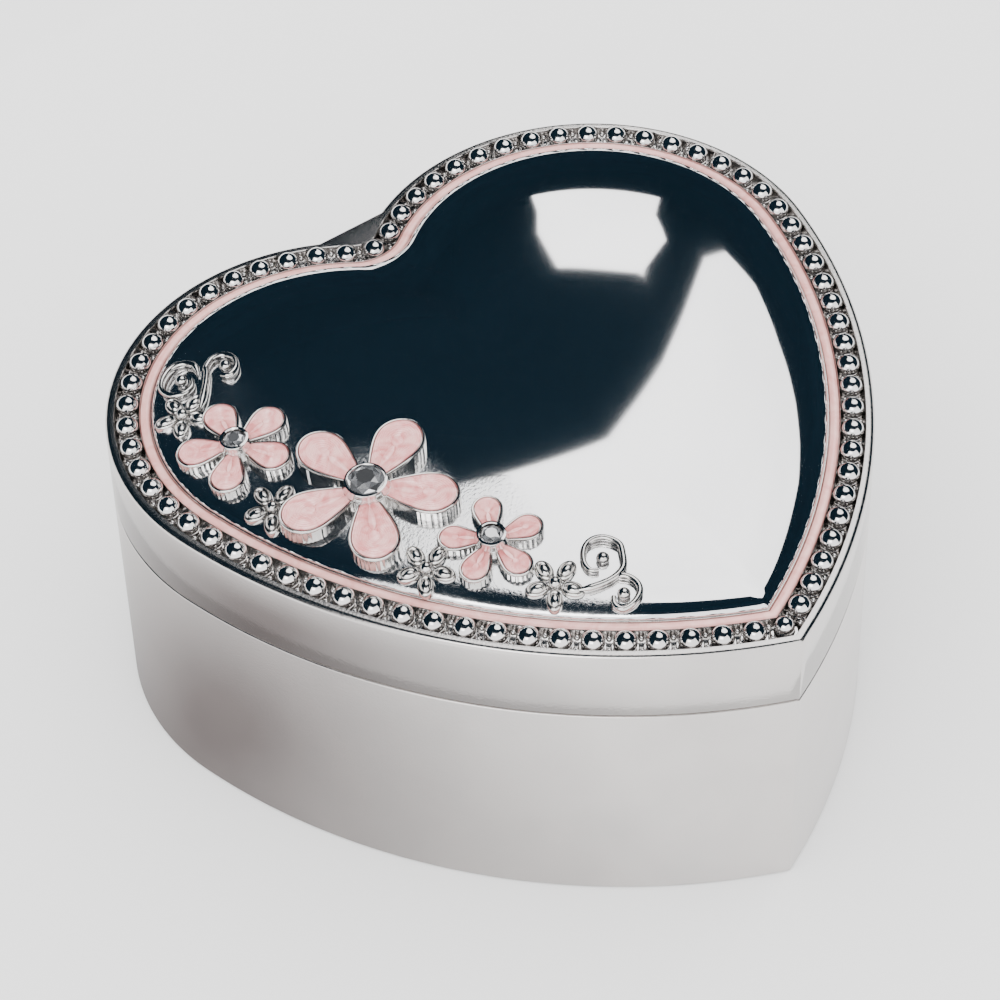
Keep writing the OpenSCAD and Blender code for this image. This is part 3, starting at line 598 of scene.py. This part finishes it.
def to_piece(name, bm, material, body, stands_for=(), smooth=40):
    mesh = bpy.data.meshes.new(name)
    bmesh.ops.remove_doubles(bm, verts=bm.verts, dist=1e-7)
    bmesh.ops.recalc_face_normals(bm, faces=bm.faces)
    bm.to_mesh(mesh)
    bm.free()
    return piece(name, mesh, material, body, stands_for, smooth)


for name, f in flowers.items():
    seat = on_dome(*f["at"])
    length, width, height = f["length"] * MM, f["width"] * MM, f["height"] * MM
    hub = f["hub"] / 2 * MM
    metal = bmesh.new()
    glaze = bmesh.new()
    for angle in f["angles"]:
        turned = seat @ Matrix.Rotation(math.radians(angle), 4, "Z")
        outer = petal_outline(length, width, 64)
        wavy = fluted(outer, 0.13 * MM, 0.62 * MM)
        middle = length * 0.6
        petal_block(metal, turned, wavy, (-0.5 * MM, height - 0.35 * MM), (0, 0), middle)
        lip = [(height - 0.35 * MM, 0.02 * MM), (height - 0.12 * MM, 0.03 * MM), (height, 0.16 * MM),
               (height - 0.02 * MM, 0.3 * MM),
               (height - 0.3 * MM, 0.44 * MM), (height - 0.3 * MM, 0.8 * MM)]
        petal_block(metal, turned, outer, [z for z, _ in lip], [i for _, i in lip], middle)
        crown = []
        reach = width * 0.5
        for k in range(33):
            inset = 0.5 * MM + (reach * 0.96 - 0.5 * MM) * k / 32
            t = (inset - 0.5 * MM) / (reach - 0.5 * MM)
            swell = 0.34 * MM * math.sin(math.pi * min(1, t * 1.6 + 0.08) / 2) - 0.30 * MM * t * t
            ribs = 0.055 * MM * math.cos(2 * math.pi * k / 4)
            crown.append((height - 0.1 * MM + swell + ribs, inset))
        cell = petal_outline(length, width, 40)
        petal_block(glaze, turned, cell, [height - 0.28 * MM] + [z for z, _ in crown],
                    [0.5 * MM] + [i for _, i in crown], middle)
    hub_rings = [(hub + 0.1 * MM, -0.4 * MM), (hub + 0.1 * MM, height - 0.2 * MM),
                 (hub, height + 0.1 * MM), (hub * 0.6, height + 0.15 * MM)]
    rows = [[metal.verts.new(seat @ Vector((r * math.cos(a), r * math.sin(a), z)))
             for a in (2 * math.pi * i / 40 for i in range(40))]
            for r, z in hub_rings]
    for low, high in zip(rows, rows[1:]):
        for i in range(40):
            metal.faces.new((low[i], low[(i + 1) % 40], high[(i + 1) % 40], high[i]))
    metal.faces.new(rows[-1])
    metal.faces.new(list(reversed(rows[0])))
    to_piece(name + "_flower_casting", metal, flower_silver, "lid", (name + "_flower",), 45)
    to_piece(name + "_flower_enamel", glaze, pearl, "lid", (name + "_petals",), 60)

# ---- Crystals and bezels --------------------------------------------------------------------------
# Round foiled stones with a table, a ring of kite facets and a girdle, held in plain cup bezels whose
# rims are burnished over the girdle.
foil, tree, shader, where = principled("foiled_crystal", (0.93, 0.96, 1.0), 0.02, 0.85, IOR=1.55,
                                       Coat_Weight=1.0, Coat_Roughness=0.02)
# Painted reflections: each facet's base colour is made lighter or darker by turns, standing in for the
# glints a foiled stone's facets catch.
painted_facet_glint = tree.nodes.new("ShaderNodeAttribute")
painted_facet_glint.attribute_name = "facet"
tree.links.new(painted_facet_glint.outputs["Color"], shader.inputs["Base Color"])
tree.links.new(spread(tree, noise(tree, where, 300, 2), 0.01, 0.06), shader.inputs["Roughness"])
stones = bmesh.new()
cups = bmesh.new()
FACETS = 8
for f in flowers.values():
    seat = on_dome(*f["at"])
    base_z = f["height"] * MM + 0.15 * MM
    r = f["stone"] / 2 * MM
    levels = [(r * 0.5, 1.72, 0), (r * 0.80, 1.38, 0.5), (r * 1.0, 0.95, 0), (r * 1.0, 0.75, 0.5),
              (r * 0.8, 0.1, 0)]
    rows = [[stones.verts.new(seat @ Vector((q * math.cos(a), q * math.sin(a),
                                             base_z + z * MM * f["stone"] / 4.7 + 0.1 * MM)))
             for a in (2 * math.pi * (i + half) / FACETS for i in range(FACETS))] for q, z, half in levels]
    stones.faces.new(rows[0])
    stones.faces.new(list(reversed(rows[-1])))
    for (low, high), shifted in zip(zip(rows, rows[1:]), (True, False, True, False)):
        for i in range(FACETS):
            j = (i + 1) % FACETS
            if shifted:
                stones.faces.new((low[i], high[i], low[j]))
                stones.faces.new((low[j], high[i], high[j]))
            else:
                stones.faces.new((low[i], high[j], low[j]))
                stones.faces.new((low[i], high[i], high[j]))
    profile = [(r + 0.05 * MM, 0.05), (r + 0.02 * MM, 0.85), (r - 0.06 * MM, 1.05), (r + 0.06 * MM, 1.18),
               (r + 0.30 * MM, 1.08),
               (r + 0.44 * MM, 0.75), (r + 0.46 * MM, 0.3), (r + 0.6 * MM, 0.12), (r + 0.6 * MM, -0.05),
               (r + 0.05 * MM, -0.05)]
    rows = [[cups.verts.new(seat @ Vector((q * math.cos(a), q * math.sin(a), base_z + z * MM))) for q,
             z in profile]
            for a in (2 * math.pi * i / 48 for i in range(48))]
    for i in range(48):
        for j in range(len(profile)):
            k = (j + 1) % len(profile)
            cups.faces.new((rows[i][j], rows[(i + 1) % 48][j], rows[(i + 1) % 48][k], rows[i][k]))
# Painted glints: a brightness for each face, from 0.22 to 1, cycling with the face's index.
painted_glint_layer = stones.loops.layers.float_color.new("facet")
for index, face in enumerate(stones.faces):
    level = 0.22 + 0.78 * (index * 5 % 7) / 6
    for loop in face.loops:
        loop[painted_glint_layer] = (level, level, min(1, level * 1.03), 1)
to_piece("faceted_stones", stones, foil, "lid", ("crystals",), 5)
to_piece("cup_bezels", cups, bead_silver, "lid", ("crystal_bezels",), 40)

# ---- Small flowers --------------------------------------------------------------------------------
# Little cast blossoms between the enamelled ones: five round petals, each a raised wire round a
# dished floor, about a ball; all silver plated.
small_at = [(-38.2, 8.7), (-38.3, -11.3), (-29.4, -30.8), (-18.8, -42.3)]
blossom = bmesh.new()
for place in small_at:
    seat = on_dome(*place)
    for k in range(5):
        a = math.radians(72 * k + 15)
        centre = Vector((2.25 * MM * math.cos(a), 2.25 * MM * math.sin(a), 0))
        outwards = Matrix.Rotation(a, 3, "Z")
        floor_rings = [(1.3, -0.4), (1.3, 0.35), (1.2, 0.6), (1.06, 0.66), (0.96, 0.5), (0.86, 0.46),
                       (0.7, 0.72), (0.45, 0.9), (0.15, 0.98)]
        rows = [[blossom.verts.new(seat @ (centre + outwards
                                           @ Vector((r * 1.15 * MM * math.cos(b),
                                                     r * 0.8 * MM * math.sin(b), z * MM))))
                 for b in (2 * math.pi * i / 28 for i in range(28))] for r, z in floor_rings]
        for low, high in zip(rows, rows[1:]):
            for i in range(28):
                blossom.faces.new((low[i], low[(i + 1) % 28], high[(i + 1) % 28], high[i]))
        blossom.faces.new(rows[-1])
        blossom.faces.new(list(reversed(rows[0])))
    sphere_into(blossom, Vector((0, 0, 0.7 * MM)), 0.8 * MM, 20, 12, seat)
to_piece("small_blossoms", blossom, flower_silver, "lid", ("small_flowers",), 50)

# ---- Scrolls --------------------------------------------------------------------------------------
# Round wire curls soldered flat on the dome, tapering as they wind in and ending in a ball.


def wire(bm, seat, points, ball, thick=0.5):
    """Tapering round wire through points, as a smooth curve, with a ball where it ends."""
    steps, sides = 8, 10
    spots = [Vector((x * MM, y * MM, 0.4 * MM)) for x, y in points]
    spots = [spots[0] * 2 - spots[1]] + spots + [spots[-1] * 2 - spots[-2]]
    line = []
    for a, b, c, d in zip(spots, spots[1:], spots[2:], spots[3:]):
        for i in range(steps):
            t = i / steps
            line.append(0.5 * (2 * b + (c - a) * t + (2 * a - 5 * b + 4 * c - d) * t * t
                               + (3 * b - a - 3 * c + d) * t ** 3))
    rows = []
    for i, p in enumerate(line):
        t = i / (len(line) - 1)
        way = (line[min(i + 1, len(line) - 1)] - line[max(i - 1, 0)]).normalized()
        side = Vector((-way.y, way.x, 0))
        w = thick * MM * (1 - 0.3 * t) * min(1, 0.3 + t * 9)
        rows.append([bm.verts.new(seat @ (p + side * w * math.cos(b)
                                          + Vector((0, 0, w * 1.3 * math.sin(b)))))
                     for b in (2 * math.pi * j / sides for j in range(sides))])
    for low, high in zip(rows, rows[1:]):
        for j in range(sides):
            bm.faces.new((low[j], low[(j + 1) % sides], high[(j + 1) % sides], high[j]))
    bm.faces.new(list(reversed(rows[0])))
    bm.faces.new(rows[-1])
    sphere_into(bm, Vector((ball[0] * MM, ball[1] * MM, 0.5 * MM)), 0.82 * MM, 16, 10, seat)


upper = bmesh.new()
seat = on_dome(-33, 13)
wire(upper, seat, [(-3, -5), (-1.5, -3.5), (0, -1.8), (1.2, -0.2), (1.5, 0.5), (3, 1.3), (4.5, 0.8),
                   (5.1, -0.7), (4.3, -2.3),
                   (2.9, -2.8), (2.2, -1.9)], (3.5, -1.1))
wire(upper, seat, [(0.3, 0.5), (0.7, 2), (0, 3.3), (-1.5, 3.9), (-3.3, 3.2), (-4.6, 1.7), (-4.5, 0),
                   (-3.3, -1.2), (-1.7, -1),
                   (-0.9, 0.2)], (-2, 0.9))
to_piece("upper_wire_scroll", upper, flower_silver, "lid", ("upper_scroll",), 60)
lower = bmesh.new()
seat = on_dome(-12.5, -45)
wire(lower, seat, [(-5, 0.3), (-3.1, -0.6), (-0.6, -1.1), (1.4, -0.6), (2.7, 1.2), (3.1, 2.5), (2.3, 4.1),
                   (0.9, 4.8), (-0.6, 4.4),
                   (-1.8, 2.9), (-1.9, 1.5), (-1, 0.8)], (0.3, 1.9))
wire(lower, seat, [(-0.2, -0.9), (1, -1.9), (1.4, -3.4), (0.8, -4.6), (-0.7, -5.3), (-2.2, -5.2),
                   (-2.6, -4.1), (-1.9, -3)],
     (-0.8, -3.6))
to_piece("lower_wire_scroll", lower, flower_silver, "lid", ("lower_scroll",), 60)

# ---- Velvet linings -------------------------------------------------------------------------------
# Card wrapped in short-pile velvet: the wall board stands above the seam and rounds over, the tray
# floor and the lid pad are softly stuffed over thin wadding.
velvet, tree, shader, where = principled("black_velvet", (0.012, 0.012, 0.018), 0.9, 0.0,
                                         Sheen_Weight=0.8, Sheen_Roughness=0.35)
tree.links.new(ramp(tree, noise(tree, where, 90, 4, 1.2), (0.006, 0.006, 0.010), (0.026, 0.026, 0.036)),
               shader.inputs["Base Color"])
bump(tree, shader, noise(tree, where, 4200, 4), 0.00012, 0.8)
bump(tree, shader, noise(tree, where, 70, 3, 0.8), 0.0003, 0.4)
lining_in, lining_t, lip_top = 1.9 * MM, 1.5 * MM, seam_z + 2.5 * MM
wall_rings = rounded(11.5 * MM, lip_top, lining_in, lining_in + lining_t, True, 0.6 * MM, 6)
piece("velvet_wall", loft(wall_rings), velvet, "case", ("wall_lining",), 60)


def pad(name, outline, z_low, z_high, crown, node, body, down=False):
    """A stuffed board: a flat back, rounded edges and a low crown."""
    sign = -1 if down else 1
    back_z, face_z = (z_high, z_low) if down else (z_low, z_high)
    steps = [0.0, 0.15, 0.35, 0.6, 1.0]
    centre = (sum(x for x, _ in outline) / len(outline), sum(y for _, y in outline) / len(outline))

    def scaled(s):
        return [(centre[0] + (x - centre[0]) * s, centre[1] + (y - centre[1]) * s) for x, y in outline]
    rings = [ring(scaled(0.02), back_z), ring(scaled(0.5), back_z), ring(outline, back_z)]
    for t in steps:
        rings.append(ring(scaled(1 - 0.012 * t), face_z - sign * (z_high - z_low) * 0.5 * (1 - t) ** 2))
    for s in (0.95, 0.85, 0.7, 0.5, 0.3, 0.1, 0.02):
        rings.append(ring(scaled(s), face_z + sign * crown * (1 - s * s)))
    middle = Vector((centre[0], centre[1] + lift_y, 0))
    mesh = loft(rings, (middle + Vector((0, 0, back_z)), middle + Vector((0, 0, face_z + sign * crown))))
    obj = piece(name, mesh, velvet, body, (node,), 60)
    return obj


pad_low, pad_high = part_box("lid_lining")[0][2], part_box("lid_lining")[1][2]
pad("velvet_lid_pad", heart(wall + 0.4 * MM, True), pad_low, pad_high, 0.0, "lid_lining", "lid", True)

tray_low, tray_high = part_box("tray_lining")
tray_back = tray_high[1] - lift_y
tray_outline = [p for p in heart(3.3 * MM, True) if p[1] < tray_back]
tray_outline = sorted((p for p in tray_outline if p[0] >= 0), key=lambda p: p[1])
tray_outline = tray_outline + [(-x, y) for x, y in reversed(tray_outline) if x > 1e-6]
pad("velvet_tray_floor", tray_outline, tray_low[2], tray_high[2] - 0.3 * MM, 0.9 * MM, "tray_lining", "case")

low, high = (Vector(c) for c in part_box("partition"))
bpy.ops.object.select_all(action="DESELECT")
bpy.ops.mesh.primitive_cube_add(size=1, location=(low + high) / 2)
board = bpy.context.object
board.scale = high - low
bpy.ops.object.transform_apply(location=True, rotation=False, scale=True)
rounding = board.modifiers.new("rounding", "BEVEL")
rounding.width = 0.5 * MM
rounding.segments = 4
bpy.ops.object.modifier_apply(modifier="rounding")
board_mesh = board.data.copy()
bpy.data.objects.remove(board)
piece("velvet_partition", board_mesh, velvet, "case", ("partition",), 60)

# ---- Underside ------------------------------------------------------------------------------------
# A pressed steel bottom plate, covered by a thin felt that is cut out round the screws and the key,
# and a plated butterfly key.


def metal(name, color, rough, grain_scale, depth, stretch=(1, 1, 1)):
    mat, t, s, w = principled(name, color, rough, 1.0)
    mapping = t.nodes.new("ShaderNodeMapping")
    mapping.inputs["Scale"].default_value = stretch
    t.links.new(w, mapping.inputs["Vector"])
    lines = noise(t, mapping.outputs["Vector"], grain_scale, 5)
    dark = tuple(c * 0.72 for c in color)
    t.links.new(ramp(t, noise(t, w, 80, 4), dark, color, 0.25, 0.6), s.inputs["Base Color"])
    t.links.new(spread(t, lines, rough * 0.6, rough * 1.4), s.inputs["Roughness"])
    bump(t, s, lines, depth, 0.6)
    return mat


felt, tree, shader, where = principled("underside_felt", (0.02, 0.02, 0.03), 0.95, 0.0, Sheen_Weight=0.5,
                                       Sheen_Roughness=0.5)
tree.links.new(ramp(tree, noise(tree, where, 700, 5), (0.010, 0.010, 0.014), (0.045, 0.045, 0.06)),
               shader.inputs["Base Color"])
bump(tree, shader, noise(tree, where, 1500, 6, 1.0), 0.0002, 0.8)

turned_steel = metal("turned_steel", (0.62, 0.62, 0.64), 0.22, 900, 0.00002)
rolled_steel = metal("rolled_steel", (0.60, 0.60, 0.61), 0.32, 500, 0.00003, (1, 12, 1))
yellow_brass = metal("yellow_brass", (0.78, 0.58, 0.27), 0.22, 700, 0.00002, (10, 1, 1))
cast_gold = metal("gold_plated_casting", (0.76, 0.58, 0.28), 0.38, 1200, 0.00005)
blue_steel = metal("blued_spring_steel", (0.16, 0.19, 0.27), 0.28, 800, 0.00002)
acetal, tree, shader, where = principled("white_acetal", (0.86, 0.86, 0.83), 0.4, 0.0)
tree.links.new(ramp(tree, noise(tree, where, 200, 3), (0.80, 0.80, 0.77), (0.88, 0.88, 0.86)),
               shader.inputs["Base Color"])
bump(tree, shader, noise(tree, where, 1500, 3), 0.00001, 0.5)
clear, tree, shader, where = principled("clear_cover_sheet", (0.95, 0.97, 0.98), 0.05, 0.0, IOR=1.49,
                                        Transmission_Weight=1.0)
tree.links.new(spread(tree, noise(tree, where, 60, 3), 0.02, 0.09), shader.inputs["Roughness"])
bump(tree, shader, noise(tree, where, 25, 2), 0.0002, 0.15)

# ---- Movement -------------------------------------------------------------------------------------
# Eighteen notes: a gilt die-cast bedplate, a ground steel comb, a brass cylinder with steel pins,
# a steel spring barrel, and a brass governor frame with an acetal wheel and a steel worm and fan.
finishes = {
    felt: ["base_felt"],
    rolled_steel: ["bottom_plate", "barrel_bridge", "cylinder_bracket", "comb"],
    turned_steel: ["bottom_screws", "hinge_pin", "comb_screws", "cylinder_pins", "cylinder_arbor",
                   "spring_barrel",
                   "barrel_cap", "winding_arbor", "air_brake", "stop_plunger", "frame_screws",
                   "movement_screws"],
    yellow_brass: ["pin_cylinder", "cylinder_pinion", "cylinder_wheel", "governor_frame", "plunger_guide"],
    cast_gold: ["bedplate"],
    acetal: ["governor_wheel"],
    blue_steel: ["mainspring", "clutch_spring", "plunger_spring"],
    clear: ["movement_cover"],
    case_silver: ["hinge_base_leaf", "hinge_lid_leaf", "winding_key"],
}
for finish, names in finishes.items():
    for name in names:
        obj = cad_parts[name]
        obj.data.materials.clear()
        obj.data.materials.append(finish)
